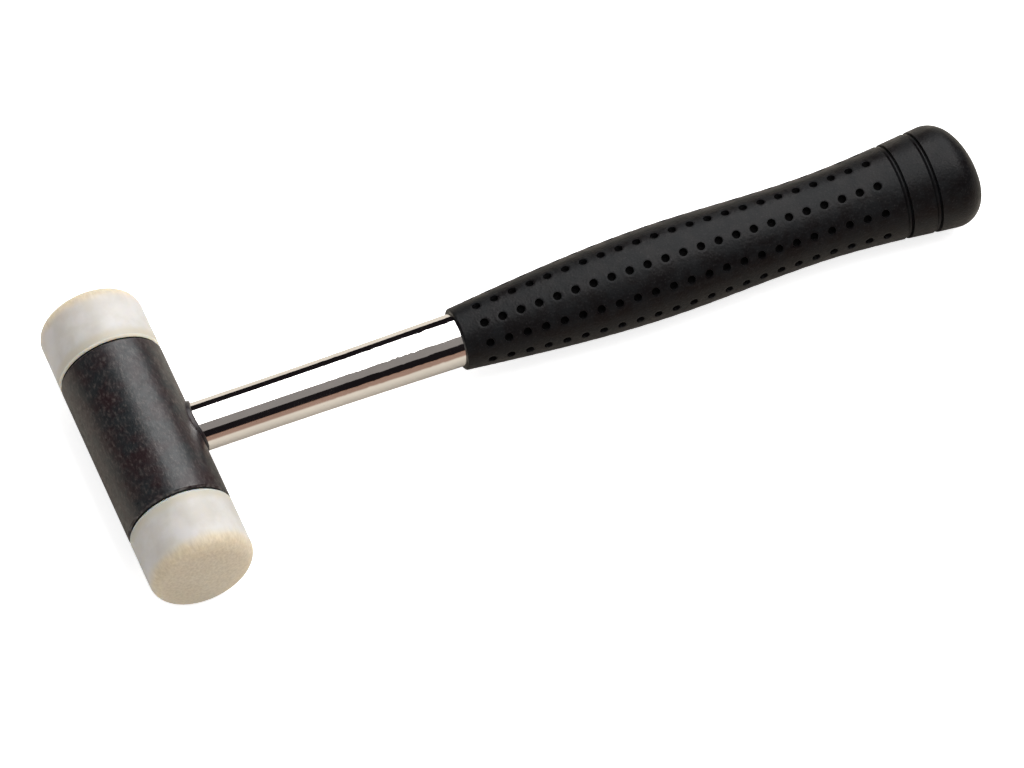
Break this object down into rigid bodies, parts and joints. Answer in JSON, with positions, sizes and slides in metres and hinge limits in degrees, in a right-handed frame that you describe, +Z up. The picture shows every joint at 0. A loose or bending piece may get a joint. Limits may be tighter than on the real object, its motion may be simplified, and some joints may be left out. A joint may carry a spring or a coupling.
{
  "type": "dead blow mallet",
  "caption": "Small mallet with a shot-filled cylindrical steel head, screw-in nylon faces, a chromed tube handle and a moulded dimpled grip.",
  "frame": {"origin": "middle of the mallet's bounding box, seen from above, on the plane it lies on", "axes": "+X runs from the head along the handle towards the butt, the head's axis lies along Y, +Z is up"},
  "size_m": [0.3075, 0.11, 0.0358],
  "materials": {
    "blackened_steel": "blackened, satin, slightly mottled",
    "nylon": "off-white translucent nylon, satin",
    "black_fibre": "matt",
    "zinc_steel": "zinc plated, machined",
    "shot_steel": "cut wire, dull",
    "chrome": "mirror bright",
    "grip_rubber": "black, satin, dimpled",
    "plug_plastic": "moulded, matt"
  },
  "bodies": {
    "mallet": {"head_housing": "blackened_steel", "left_bulkhead": "zinc_steel", "right_bulkhead": "zinc_steel", "handle_tube": "chrome", "weld_bead": "blackened_steel", "tube_head_plug": "zinc_steel", "tube_end_plug": "plug_plastic", "grip": "grip_rubber"},
    "right_washer": {"right_washer": "black_fibre"},
    "right_face": {"right_face": "nylon", "right_face_stud": "zinc_steel"},
    "left_washer": {"left_washer": "black_fibre"},
    "left_face": {"left_face": "nylon", "left_face_stud": "zinc_steel"},
    "shot": {"shot_charge": "shot_steel"}
  },
  "joints": [
    {"name": "right_face_travel", "type": "slide", "parent": "mallet", "child": "right_washer", "axis": [0, 1, 0], "range_m": [0, 0.0079]},
    {"name": "right_face_unscrew", "type": "hinge", "parent": "right_washer", "child": "right_face", "pos_m": [-0.13625, 0.04, 0.01788], "axis": [0, 1, 0], "range_deg": [0, 1620]},
    {"name": "left_face_travel", "type": "slide", "parent": "mallet", "child": "left_washer", "axis": [0, -1, 0], "range_m": [0, 0.0079]},
    {"name": "left_face_unscrew", "type": "hinge", "parent": "left_washer", "child": "left_face", "pos_m": [-0.13625, -0.04, 0.01788], "axis": [0, -1, 0], "range_deg": [0, 1620]},
    {"name": "shot_slide", "type": "slide", "parent": "mallet", "child": "shot", "axis": [0, 1, 0], "range_m": [-0.0026, 0.0026]}
  ],
  "couplings": [
    {"joint": "right_face_travel", "follows": "right_face_unscrew", "m_per_rad": 0.00027852},
    {"joint": "left_face_travel", "follows": "left_face_unscrew", "m_per_rad": 0.00027852}
  ]
}
